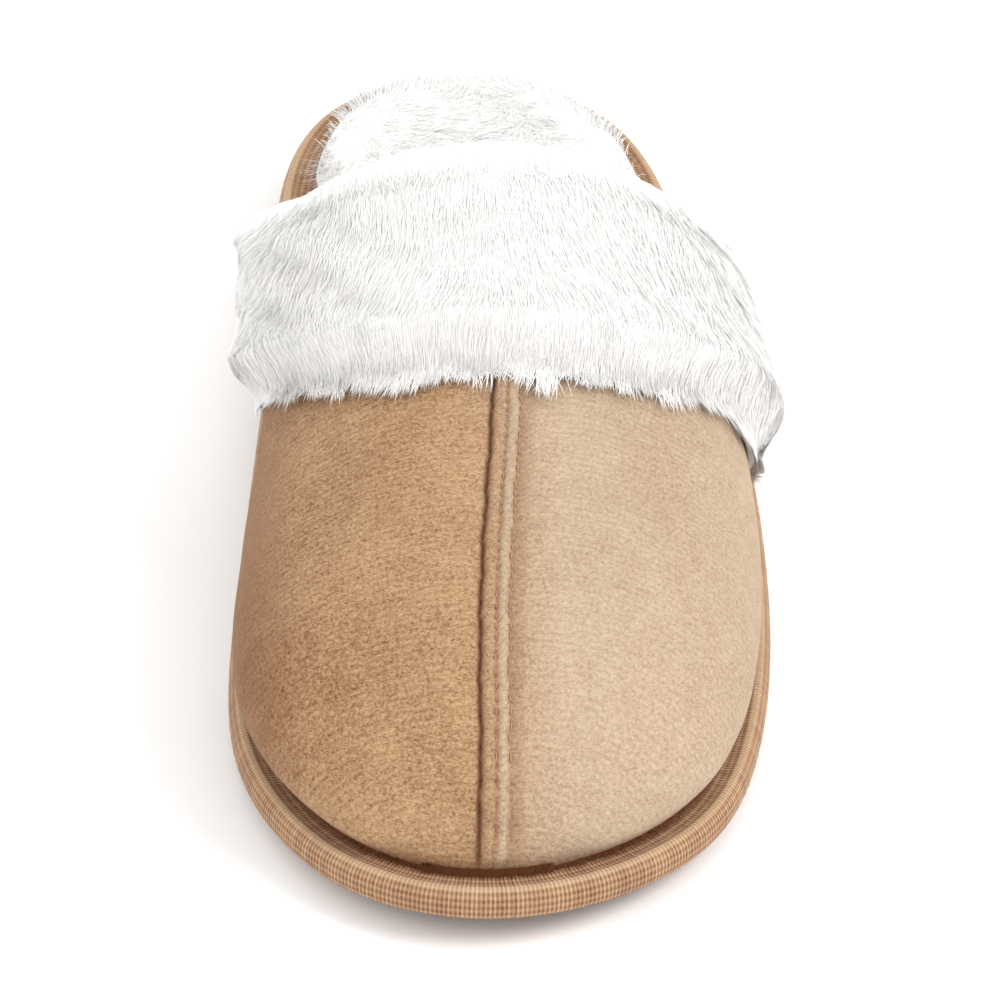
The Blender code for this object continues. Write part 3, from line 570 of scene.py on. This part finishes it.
def buildVamp():
    rows = np.concatenate([
        cuffStart * np.linspace(0, 1, vamp["rowsToCuff"]) ** vamp["rowCrowding"] * vamp["pastCuff"],
        np.linspace(cuffStart * vamp["pastCuff"], 1.0, vamp["rowsUnderCuff"] + 1)[1:]])
    each = vamp["columnsEachSide"]
    grid, shades = [], []
    for girth in rows:
        sides = vampSides(girth)
        flat = shell(girth, sides)
        sway = float(seamSway(girth)[0])
        offset = (flat[:, 0] - section["seam"](girth) * last["ballWidth"]) * 1000 - sway
        offset[each:-each] = seamOffsets
        fade = float(ease(girth, 0.0, 0.05)) * ease(1 - np.abs(sides), 0.0, 0.10)
        rise = vampRelief(flat, offset, fade)
        line = shell(girth, sides, -rise)
        tucked = shell(girth, sides[[0, -1]], last["vampWall"] * vamp["tuckIn"])
        grid.append(np.concatenate([tucked[:1], line, tucked[1:]]))
        thread = 0.55 + 0.45 * np.cos(flat[:, 1] / vamp["stitchPitch"] * 2 * math.pi)
        # painted shade: deepest in the seam's ditch, lighter in the stitch furrows
        ditch = bump(offset, -2.95, 0.42) * (0.75 + 0.25 * thread) + 0.55 * bump(offset, -0.25, 0.24) * thread
        ditch += 0.30 * bump(offset, 2.2, 0.30) * (0.6 + 0.4 * thread) + 0.16 * bump(offset, -1.9, 0.5)
        x, y = line[:, 0] * 1000, line[:, 1] * 1000
        up = (line[:, 2] - platformTop(line[:, 1])) * 1000
        # painted shade: darker low down by the tape and beside the seam's ridge
        crease = np.maximum(1 - ease(up, -0.5, 4.5), 0.42 * bump(offset, 3.2, 1.2))
        crease = crease + 0.85 * (1 - ease(x, -46.5, -33))  # the inner side's far edge in painted shade
        # painted highlight: paler over the outer half and along the seam's crest
        pale = ease(x, -10, 12) + 0.9 * bump(offset, 0.85, 0.55)
        # patches partly the nap's own tone, partly painted light and shade
        patchToneLight = sum(k * np.exp(-((x - px) / a) ** 2 - ((y - py) / b) ** 2) for px, py, a, b, k in toneAndLightSpots)
        shades.append(np.stack([np.clip(ditch, 0, 1), np.clip(pale, 0, 1), np.clip(crease, 0, 1), patchToneLight], -1))
    grid = np.array(grid)
    shades = np.array(shades)
    shades = np.concatenate([shades[:, :1], shades, shades[:, -1:]], 1)
    front = shell(0.0, vampSides(0.0), last["vampWall"] * vamp["tuckIn"])
    front = np.concatenate([front[:1], front, front[-1:]])
    foot = grid[0].copy()  # the toe's edge comes down to the tape
    for row in (front, foot):
        row[:, 2] = platformTop(row[:, 1]) + last["gap"] * 0.5
    grid = np.concatenate([[front, foot, foot * 0.55 + grid[0] * 0.45], grid])
    skirt = shades[:1].copy()
    skirt[..., 2] *= 0.45  # less of the crease's painted shade there
    shades = np.concatenate([skirt] * 3 + [shades])
    along = np.cumsum(np.linalg.norm(np.diff(grid, axis=0, prepend=grid[:1]), axis=-1), axis=0) * 1000
    cloth = np.stack([along, shades[..., 0], np.zeros(along.shape)], -1)
    piece = newPiece("vamp", grid.reshape(-1, 3), gridFaces(*grid.shape[:2], flip=True), looks["suede"],
                     {"cloth": cloth, "lightShadeTone": shades[..., 1:]})
    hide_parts("upper")


def buildLining():
    sides = np.linspace(-1, 1, 70)
    g, s = np.meshgrid(np.linspace(0.02, 1.0, 60), sides, indexing="ij")
    inner = shell(g, s, last["vampWall"] * 0.95)
    grid = np.concatenate([inner, shell(1.0, sides, 0.0)[None]])
    newPiece("lining", grid.reshape(-1, 3), gridFaces(*grid.shape[:2]), looks["lining"])


def creaseNap():  # short dark hairs where the suede meets the tape
    local = np.random.default_rng(31)
    n = vamp["creaseHairs"]
    girth = local.uniform(0.0, cuffStart * 1.05, n)
    sign = np.where(local.random(n) < 0.5, -1.0, 1.0)
    ahead = local.random(n) < vamp["toeShare"]  # round the toe, where the sections start
    girth = np.where(ahead, local.uniform(0.0, 0.012, n), girth)
    side = np.where(ahead, local.uniform(-1, 1, n), sign * local.uniform(0.955, 0.998, n))
    root = shell(girth, side, 0.0001)
    low = platformTop(root[:, 1]) + 0.0004 + 0.0008 * local.random(n)
    root[:, 2] = np.where(ahead, low, root[:, 2])
    out = unit(shell(girth, side, -0.001) - shell(girth, side, 0.001))
    droop = unit(out * 0.8 + local.normal(0, 0.35, (n, 3)) + np.array([0, 0, -0.5]))
    length = vamp["creaseHair"] * (0.5 + local.random(n))
    t = np.linspace(0, 1, 3)
    points = root[:, None] + droop[:, None] * (length[:, None] * t)[..., None]
    widths = np.full((n, 1), vamp["creaseHairWidth"]) * np.array([[1.0, 0.8, 0.0]])
    marks = np.stack([local.random(n), local.random(n)], -1)
    strands("creaseNap", points, widths, out, looks["nap"], marks)


def seamStitches():  # two rows of small threads sunk in the seam's furrows
    corners, reach = 6, 0.36  # sides of a thread, half its length as a share of the pitch
    girths = np.linspace(0.02, cuffStart * 1.03, 600)
    crown = crownLine(girths, np.zeros(600))[:, 0]
    dense = np.linspace(-0.5, 0.5, 301)
    turns = np.linspace(0, 2 * math.pi, corners + 1)[:-1]
    verts, faces = [], []
    for nominal in (-0.25, 2.15):  # where the furrows run, in mm from the seam's middle
        for y in np.arange(vamp["stitchFrom"], vamp["stitchTo"], vamp["stitchPitch"]):
            start = len(verts)
            for k, size in ((-reach, 0.15), (-0.22, 0.85), (0.0, 1.0), (0.22, 0.85), (reach, 0.15)):
                girth = float(np.interp(y + k * vamp["stitchPitch"], crown, girths))
                sway = float(np.interp(nominal, seamOffsets, seamSway(girth)))
                spread = (shell(girth, dense)[:, 0] - section["seam"](girth) * last["ballWidth"]) * 1000
                side = np.interp(nominal + sway, spread, dense)
                point = shell(girth, side, -(vamp["seamHeight"] * 0.30 + 0.00010 * (1 - (k / reach) ** 2)))
                for a in turns:
                    verts.append(point + vamp["thread"] * size * np.array([math.cos(a), 0, math.sin(a)]))
            faces += gridFaces(5, corners, loopColumns=True, start=start)
            faces += [list(range(start, start + corners)), list(range(start + 4 * corners, len(verts)))[::-1]]
    newPiece("seamStitches", np.array(verts), faces, looks["thread"])


buildVamp()
buildLining()
creaseNap()
seamStitches()
print("vamp and lining built")

# the ribbed tape round the platform
tape = {"ribPitch": 0.00080, "ribHeight": 0.00017, "stepsPerRib": 3, "rowHeight": 0.00005}
# the tape in section, from the hem under the sole to the crease: inward in mm, up as a share
tapeProfile = [
    (6.2, 0.00), (3.6, 0.00), (1.9, 0.005), (1.1, 0.03), (0.55, 0.09), (0.22, 0.18), (0.06, 0.29),
    (0.0, 0.40), (0.0, 0.51), (0.06, 0.62), (0.20, 0.72), (0.42, 0.81), (0.80, 0.90), (1.25, 0.965),
    (1.75, 1.0), (2.25, 1.0), (2.75, 0.965), (3.3, 0.945), (3.9, 0.94), (4.5, 0.94), (5.1, 0.945),
    (5.7, 0.95), (6.3, 0.96), (7.2, 0.975), (8.4, 0.98),
]


def buildTape():
    dense = np.linspace(0, 2 * math.pi, 4001)
    line = soleOutline(dense, np.full(4001, 0.0))
    runs = np.concatenate([[0], np.cumsum(np.linalg.norm(np.diff(line, axis=0), axis=1))])
    ribs = round(runs[-1] / tape["ribPitch"])
    columns = ribs * tape["stepsPerRib"]
    arc = np.arange(columns) / columns * runs[-1]
    phase = np.interp(arc, runs, dense)
    ripple = 0.5 + 0.5 * np.cos(2 * math.pi * np.arange(columns) / tape["stepsPerRib"])
    chance = np.repeat(rng.uniform(0.55, 1.0, ribs), tape["stepsPerRib"])
    grid, marks = [], []
    for k, (inward, up) in enumerate(tapeProfile):
        raised = float(ease(k, 1, 4) * (1 - 0.6 * ease(k, 21, 24)))
        lengthwise = 0.5 + 0.5 * math.cos(k * math.pi)
        rise = tape["ribHeight"] * ripple * chance * raised + tape["rowHeight"] * lengthwise * raised
        facing = float(ease(up, 0.75, 1.0))
        inset = inward / 1000 - rise * (1 - facing)
        flat = soleOutline(phase, inset)
        low = platformBottom(flat[:, 1])
        high = platformTop(flat[:, 1])
        z = low + (high - low) * up + rise * facing
        grid.append(np.concatenate([flat, z[:, None]], -1))
        # a painted highlight on the rim's top, stronger on the rib crests, and painted shade in the recess
        # towards the vamp
        rim = bump(k, 14.0, 1.5) * (0.5 + 0.5 * ripple) - 0.62 * float(ease(k, 19.0, 23.0))
        # each rib's painted crest light, the weave's rows, then the rim's painted highlight and recess shade
        marks.append(np.stack([ripple * chance, np.full(columns, lengthwise), rim], -1))
    grid = np.array(grid)
    piece = newPiece("tape", grid.reshape(-1, 3), gridFaces(len(grid), columns, loopColumns=True),
                     looks["tape"], {"weave": marks})
    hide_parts("binding")


buildTape()
print("tape built")

# the cuff's fur
fur = {
    # the fold over the top line, the fur turned in behind it, half the band's girth
    "foldRadius": 0.0028, "turnIn": 0.017, "span": 0.092,
    # the fur's depth outside, on the fold and inside, and the share of it left at the feet
    "depthOut": 0.0086, "depthFold": 0.0066, "depthIn": 0.0050, "footMedial": 0.40, "footLateral": 0.62,
    # how far the front edge comes forward at the feet, the share of extra hairs there, their sweep
    "reachOuter": 0.0094, "reachInner": 0.0008, "corners": 0.12, "sweep": 0.0085,
    # swellings at the sides and at the fold's ends, waves, tufts, how close the back lies to the vamp
    "fullness": 0.0020, "corner": 0.0044, "lumps": 0.06, "tuft": 0.00025, "hug": 0.00035,
    # how far hairs are combed forwards, backwards and down the sides, and how much they wander
    "comb": 0.0086, "combBack": 0.0045, "combDown": 0.0060, "wander": 0.0022,
    # the pitch of the clumps, and how strongly they pull their hairs together
    "clump": 0.0034, "pull": 0.12, "pullAtEdge": 0.22,
    # a hair's width, the pelt's share of the depth, how high tips rise, how deep roots sit, the last root
    "width": 0.00016, "dense": 0.90, "loose": 0.0006, "sunk": 0.0003, "lastSide": 0.985,
}


def hashed(a, b, seed):  # a steady number from 0 to 1 for each pair of whole numbers
    n = np.sin(a * 127.1 + b * 311.7 + seed * 74.7) * 43758.5453
    return n - np.floor(n)


def clumpOf(s, q, pitch, seed):  # nearest of the scattered clump centres, its own number, how near it is
    best = np.full(s.shape, 1e9)
    found = [np.zeros(s.shape) for _ in range(3)]
    cs, cq = np.floor(s / pitch), np.floor(q / pitch)
    for ds in (-1, 0, 1):
        for dq in (-1, 0, 1):
            a, b = cs + ds, cq + dq
            ps = (a + hashed(a, b, seed)) * pitch
            pq = (b + hashed(a, b, seed + 1)) * pitch
            distance = (ps - s) ** 2 + (pq - q) ** 2
            near = distance < best
            best = np.where(near, distance, best)
            for k, value in enumerate((ps, pq, hashed(a, b, seed + 2))):
                found[k] = np.where(near, value, found[k])
    return *found, np.exp(-best / (0.35 * pitch) ** 2)


def flow(a, b, seed):  # slow wander over a surface, about -1 to 1, places in mm
    return (np.sin(0.11 * a + 0.07 * b + seed) * 0.5 + np.sin(0.05 * a - 0.13 * b + 2.1 * seed) * 0.35
            + np.sin(0.23 * a + 0.19 * b + 0.7 * seed) * 0.25)


foldLength = math.pi * fur["foldRadius"]
cuffLength = vamp["cuffWidth"] + foldLength + fur["turnIn"]
wallMiddle = -last["vampWall"] / 2


def cuffPoint(s, side, lift):  # s runs from the cuff's front edge over the top line to the inside
    s, side, lift = np.broadcast_arrays(*(np.asarray(v, float) for v in (s, side, lift)))
    w, r = vamp["cuffWidth"], fur["foldRadius"]
    angle = np.clip((s - w) / r, 0, math.pi)
    nRun, nOut = np.sin(angle), np.cos(angle)
    run = np.where(s < w, s, np.where(s > w + math.pi * r, w - (s - w - math.pi * r), w))
    reach = fur["reachOuter"] * ease(side, 0.50, 0.86) + fur["reachInner"] * ease(-side, 0.6, 0.95)
    run = run + nRun * (r + lift) - reach * (1 - np.clip(s / w, 0, 1))
    out = wallMiddle + nOut * (r + lift)
    girth = cuffStart + (1 - cuffStart) * run / w
    return shell(np.maximum(girth, 0.05), side, -out)


def furDepth(s, side):
    w, fold = vamp["cuffWidth"], foldLength
    height = 1 - np.abs(side)
    foot = np.where(side < 0, fur["footMedial"], fur["footLateral"])
    outside = fur["depthOut"] * (foot + (1 - foot) * ease(height, 0.0, 0.36))
    inside = fur["depthIn"] * (0.12 + 0.88 * ease(height, 0.12, 0.32))
    share = ease(s, w - 0.004, w + fold + 0.002)
    middle = fur["depthFold"] * (foot + (1 - foot) * ease(height, 0.0, 0.30))
    depth = np.where(s < w, outside + (middle - outside) * ease(s, w - 0.010, w),
                     middle + (inside - middle) * share)
    depth = depth + fur["fullness"] * bump(np.abs(side), 0.72, 0.20) * ease(s, 0.010, 0.036) * (
        1 - ease(s, w + 0.004, w + fold + 0.002))
    depth = depth + fur["corner"] * bump(np.abs(side), 0.86, 0.20) * bump(s, w + fold * 0.45, 0.0075)
    waves = flow(s * 1000, side * (fur["span"] * 1000), 1.0)
    lumps = 1 + fur["lumps"] * waves + 0.03 * np.sin(side * 31 + s * 420)
    return depth * lumps * (0.62 + 0.38 * ease(s, 0.0, 0.008))


def peltDepth(s, side):  # face of the dense underlayer, with a soft tuft at every clump
    depth = furDepth(s, side)
    tuft = clumpOf(s, side * fur["span"], fur["clump"] * 1.5, 3)[3]
    ends = ease(s, -0.0012, 0.0075) * ease(cuffLength - s, -0.0005, 0.005)
    return (depth * fur["dense"] + fur["tuft"] * tuft * np.minimum(depth / 0.004, 1)) * ends


def buildPelt():  # the fur's dense underlayer, closed round the vamp's edge
    sides = np.linspace(-1, 1, 221)
    ss, dd = np.meshgrid(np.linspace(0.0, cuffLength, 120), sides, indexing="ij")
    face = cuffPoint(ss, dd, peltDepth(ss, dd))
    ss, dd = np.meshgrid(np.linspace(cuffLength, 0.0, 16), sides, indexing="ij")
    hug = cuffPoint(ss, dd, last["vampWall"] / 2 - fur["foldRadius"] + fur["hug"])
    grid = np.concatenate([face, hug])
    rows, columns = grid.shape[:2]
    faces = gridFaces(rows, columns, loopRows=True)
    faces.append([i * columns for i in range(rows)])
    faces.append([i * columns + columns - 1 for i in range(rows)][::-1])
    # the pelt takes the roots' colour, painted lighter to soften the shade beneath the hairs
    piece = newPiece("furPelt", grid.reshape(-1, 3), faces, looks["fur"],
                     {"strand": np.tile([0.0, 0.5, 0.5], (rows * columns, 1))})
    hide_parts("cuff")


def cuffStrands(name, count, low, high, seed):
    local = np.random.default_rng(seed)
    w, span, lastSide = vamp["cuffWidth"], fur["span"], fur["lastSide"]
    s0 = local.uniform(low, high, count)
    side0 = local.uniform(-lastSide, lastSide, count)
    crowd = local.random(count) < fur["corners"]  # the band's feet are longer than its crown
    side0 = np.where(crowd, np.sign(side0) * (lastSide - 0.20 * local.random(count)), side0)
    q0 = side0 * span
    cs, cq, chance, _ = clumpOf(s0, q0, fur["clump"], 3)
    size = 0.75 + 0.5 * chance  # one size for all the hairs of a clump
    edge = 1 - ease(s0, 0.0, 0.012)
    far = np.abs(side0)
    aside = ease(far, 0.35, 0.85) * (1 - 0.75 * ease(far, 0.80, 0.97))
    corner = ease(side0, 0.70, 0.88) * edge  # hairs that sweep over the vamp at the outer corner
    forward = fur["comb"] * size * (1 - 0.45 * ease(s0, w - 0.006, w + 0.004))
    forward = forward * (1 - 0.70 * aside * (1 - 0.5 * edge))
    forward = forward * (1 - 0.35 * edge) + edge * (0.0026 * chance - 0.0012)
    behind = s0 + local.normal(0, 0.0012, count) > w + 0.35 * foldLength
    forward = np.where(behind, -fur["combBack"] * size, forward)
    wander = fur["wander"] * flow(s0 * 1000, q0 * 1000, 4.0) + local.normal(0, 0.0010, count)
    fall = (0.0024 * far * (1 - ease(far, 0.8, 1.0)) + fur["combDown"] * aside) * np.sign(side0)
    fall = fall * (1 - corner) - fur["sweep"] * corner * (0.5 + 0.5 * chance)
    stray = local.normal(0, 0.0008, count)
    pull = fur["pull"] + fur["pullAtEdge"] * edge
    t = np.linspace(0, 1, 4)[None]
    s = s0[:, None] - forward[:, None] * t + ((cs - s0) * pull + stray)[:, None] * t**2
    q = q0[:, None] + (wander + fall)[:, None] * t**1.2 + ((cq - q0) * pull)[:, None] * t**2
    side = np.clip(q / span, -1.05, 1.05)
    rise = fur["loose"] * (0.55 + 0.9 * local.random(count) ** 2)
    rise = rise * np.minimum(furDepth(s0, side0) / 0.006, 1.2)
    rise = rise * (1 - 0.5 * ease(far, 0.55, 0.80) * (s0 < w) * (1 - corner)) + 0.0012 * corner
    lift = peltDepth(s, side) + rise[:, None] * (1 - (1 - t) ** 1.6) - fur["sunk"] * (1 - t)
    lift = np.maximum(lift, -fur["foldRadius"] + last["vampWall"] / 2 + 0.0008 * t)
    middle = s0 - forward * 0.4
    side0 = np.clip(side0 + fall / span * 0.4, -0.98, 0.98)
    skin = [cuffPoint(middle + a, side0 + b, peltDepth(middle + a, side0 + b))
            for a, b in ((0.0015, 0), (-0.0015, 0), (0, 0.016), (0, -0.016))]
    out = unit(np.cross(skin[3] - skin[2], skin[1] - skin[0]))
    widths = fur["width"] * (0.75 + 0.5 * local.random(count))[:, None] * bladeTaper
    marks = np.stack([local.random(count), chance], -1)
    strands(name, cuffPoint(s, side, lift), widths, out, looks["fur"], marks)


buildPelt()
# each layer's name, hairs, first and last root from the band's front edge, seed
cuffStrands("furFront", 32000, 0.0002, 0.0225, 11)
cuffStrands("furMiddle", 28000, 0.0210, 0.0460, 12)
cuffStrands("furBack", 20000, 0.0440, cuffLength - 0.001, 13)
print("cuff fur built")

# the plush footbed
footbed = {
    # foam and pile, and how far they stay in from the sole's edge
    "foam": 0.0030, "pile": 0.0040, "heelInset": 0.0058, "frontInset": 0.0125, "innerInset": 0.0012,
    # how wide the rounded edge is, mesh columns and rings, tufts
    "crown": 0.012, "columns": 240, "rings": 24, "tuft": 0.0006,
    # the pile's blades: how many, how long, how high tips rise, pitch of the clumps, width
    "count": 36000, "strand": 0.0046, "loose": 0.0013, "clump": 0.0034, "width": 0.00014,
    # how they lean out at the edge, curl, gather into clumps, and droop at the edge and the heel
    "lean": 0.0026, "curl": 0.0016, "pull": 0.3, "droop": 0.0006, "heelDroop": 0.0034,
}


def bedInset(edge):
    reach = np.where(edge[..., 0] < 0, last["medialReach"], last["lateralReach"])
    behind = ease(edge[..., 1] + last["soleLength"] / 2 - reach, 0.003, 0.024)
    narrow = footbed["innerInset"] * ease(-edge[..., 0], 0.008, 0.028)
    return footbed["frontInset"] + (footbed["heelInset"] - footbed["frontInset"]) * behind + narrow


def bedFace(inward):
    swell = np.sin(math.pi / 2 * np.clip(inward / footbed["crown"], 0, 1))
    return footbed["foam"] + footbed["pile"] * swell


def buildBed():
    n = footbed["columns"]
    phase = np.linspace(0, 2 * math.pi, n + 1)[:-1]
    inset = bedInset(soleOutline(phase, np.full(n, 0.006)))
    rings = [(0.0006, 0.0), (0.0, 0.0008), (0.0, 0.0018), (0.0004, 0.0026)]  # inward, up
    rings += [(inward, float(bedFace(inward)) - 0.0002)
              for inward in np.linspace(0.0011, 0.0255, footbed["rings"])]
    grid = []
    for inward, height in rings:
        flat = soleOutline(phase, inset + inward)
        tuft = clumpOf(flat[:, 0], flat[:, 1], footbed["clump"] * 1.5, 8)[3]
        soft = 0.0003 * flow(flat[:, 0] * 1000, flat[:, 1] * 1000, 2.0) + footbed["tuft"] * tuft
        top = platformTop(flat[:, 1]) + last["gap"] + height + soft * (height > 0.0028)
        grid.append(np.concatenate([flat, top[:, None]], -1))
    grid = np.array(grid)
    faces = gridFaces(len(grid), n, loopColumns=True)
    for start, flip in ((0, False), ((len(grid) - 1) * n, True)):  # the underside, then the middle of the top
        for k in range(n // 2):
            quad = list(dict.fromkeys([k, k + 1, (n - k - 1) % n, (n - k) % n]))
            if len(quad) > 2:
                quad = [start + i for i in quad]
                faces.append(quad if flip else quad[::-1])
    piece = newPiece("footbed", grid.reshape(-1, 3), faces, looks["plush"])
    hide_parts("insole")


def bedStrands():
    local = np.random.default_rng(21)
    n, points = footbed["count"] * 3, 720
    x = local.uniform(-0.05, 0.05, n)
    y = local.uniform(-0.045, 0.131, n)
    ring = soleOutline(np.linspace(0, 2 * math.pi, points + 1)[:-1], np.zeros(points))
    best = np.full(n, 1e9)
    nearest = np.zeros(n, int)
    for k in range(points):
        d = (x - ring[k, 0]) ** 2 + (y - ring[k, 1]) ** 2
        nearest = np.where(d < best, k, nearest)
        best = np.minimum(d, best)
    inside = np.sqrt(best) - bedInset(np.stack([x, y], -1))
    centre = np.abs(x) < np.abs(ring[nearest, 0]) + 0.002
    keep = (inside > 0.0004) & centre & (local.random(n) < 0.35 + 0.65 * ease(y, -0.02, 0.01))
    x, y, inside, nearest = (v[keep][:footbed["count"]] for v in (x, y, inside, nearest))
    n = len(x)
    edge = unit(ring[nearest] - np.stack([x, y], -1))
    rim = 1 - ease(inside, 0.0, 0.008)
    heel = ease(y, 0.104, 0.124)
    outward = rim * (footbed["lean"] + 0.0010 * heel * (0.8 + 0.4 * flow(x * 2000, y * 1000, 5.0)))
    curl = footbed["curl"]
    lean = edge * outward[:, None]
    lean += np.stack([curl * flow(x * 1000, y * 1000, 1.0), curl * flow(x * 1000, y * 1000, 3.0)], -1)
    cx, cy, chance, _ = clumpOf(x, y, footbed["clump"], 8)
    heading = 4.0 * flow(x * 600, y * 600, 9.0) * (1 - heel) + local.normal(0, 0.5, n) + 1.6
    lay = np.stack([np.cos(heading), np.sin(heading)], -1) * (footbed["strand"] * (1 - 0.6 * rim))[:, None]
    pull = np.stack([cx - x, cy - y], -1) * footbed["pull"]
    height = footbed["loose"] * (0.5 + 0.9 * local.random(n) ** 2)
    base = platformTop(y) + last["gap"] + bedFace(inside) + 0.0003 * flow(x * 1000, y * 1000, 2.0) - 0.0004
    droop = rim * (footbed["droop"] + heel * footbed["heelDroop"])
    t = np.linspace(0, 1, 4)[None]
    flat = np.stack([x, y], -1)[:, None] + (lean + lay)[:, None] * t[..., None]
    flat = flat + pull[:, None] * (t**2)[..., None]
    z = base[:, None] + height[:, None] * (1 - (1 - t) ** 1.6) - droop[:, None] * t**2
    out = unit(np.concatenate([edge * (rim * 0.9)[:, None], np.ones((n, 1))], -1))
    widths = footbed["width"] * (0.75 + 0.5 * local.random(n))[:, None] * bladeTaper
    marks = np.stack([local.random(n), chance], -1)
    blades = np.concatenate([flat, z[..., None]], -1)
    strands("footbedPile", blades, widths, out, looks["fur"], marks)


buildBed()
bedStrands()
print("footbed built")

# the rigid nodes keep their shape and get a material
for nodeName, look in (("outsole", "rubber"), ("midsole", "foam")):
    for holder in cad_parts[nodeName].material_slots:
        holder.material = looks[look]

# floor, light and camera
studio = {
    "floor": tone(252, 252, 252), "floorHalf": 4, "sky": 1.13,
    "lamps": [  # name, place, turn in degrees, width, watts
        ("key", (0.85, -0.35, 0.95), (0, 42, -22), 0.7, 8.3),
        ("fill", (-0.9, -0.7, 0.9), (48, -38, 0), 1.2, 3.8),
    ],
    "place": (-0.04189, -1.05606, 0.74565), "turn": (54.867, -1.442, -1.354), "lens": 248.7,
}


def turned(degrees):
    return Euler([math.radians(v) for v in degrees])


def buildStudio():
    scene = bpy.context.scene
    scene.world = bpy.data.worlds.new("studio")
    scene.world.use_nodes = True
    sky = scene.world.node_tree.nodes["Background"]
    sky.inputs["Color"].default_value = (1, 1, 1, 1)
    sky.inputs["Strength"].default_value = studio["sky"]
    ground = Shader("floor", 0.9, Base_Color=studio["floor"], Specular_IOR_Level=0.0)
    mesh = bpy.data.meshes.new("floor")
    h = studio["floorHalf"]
    mesh.from_pydata([(-h, -h, 0), (h, -h, 0), (h, h, 0), (-h, h, 0)], [], [(0, 1, 2, 3)])
    mesh.materials.append(ground.material)
    floor = addObject("floor", mesh)
    for name, place, turn, size, power in studio["lamps"]:
        lamp = bpy.data.lights.new(name, "AREA")
        lamp.shape, lamp.size, lamp.energy = "DISK", size, power
        holder = addObject(name, lamp)
        holder.location, holder.rotation_euler = place, turned(turn)
    camera = addObject("camera", bpy.data.cameras.new("camera"))
    camera.location, camera.rotation_euler = studio["place"], turned(studio["turn"])
    camera.data.lens, camera.data.sensor_width = studio["lens"], 36
    camera.data.clip_start, camera.data.clip_end = 0.05, 20
    scene.camera = camera
    scene.view_settings.view_transform = "Standard"


buildStudio()
print("studio set")
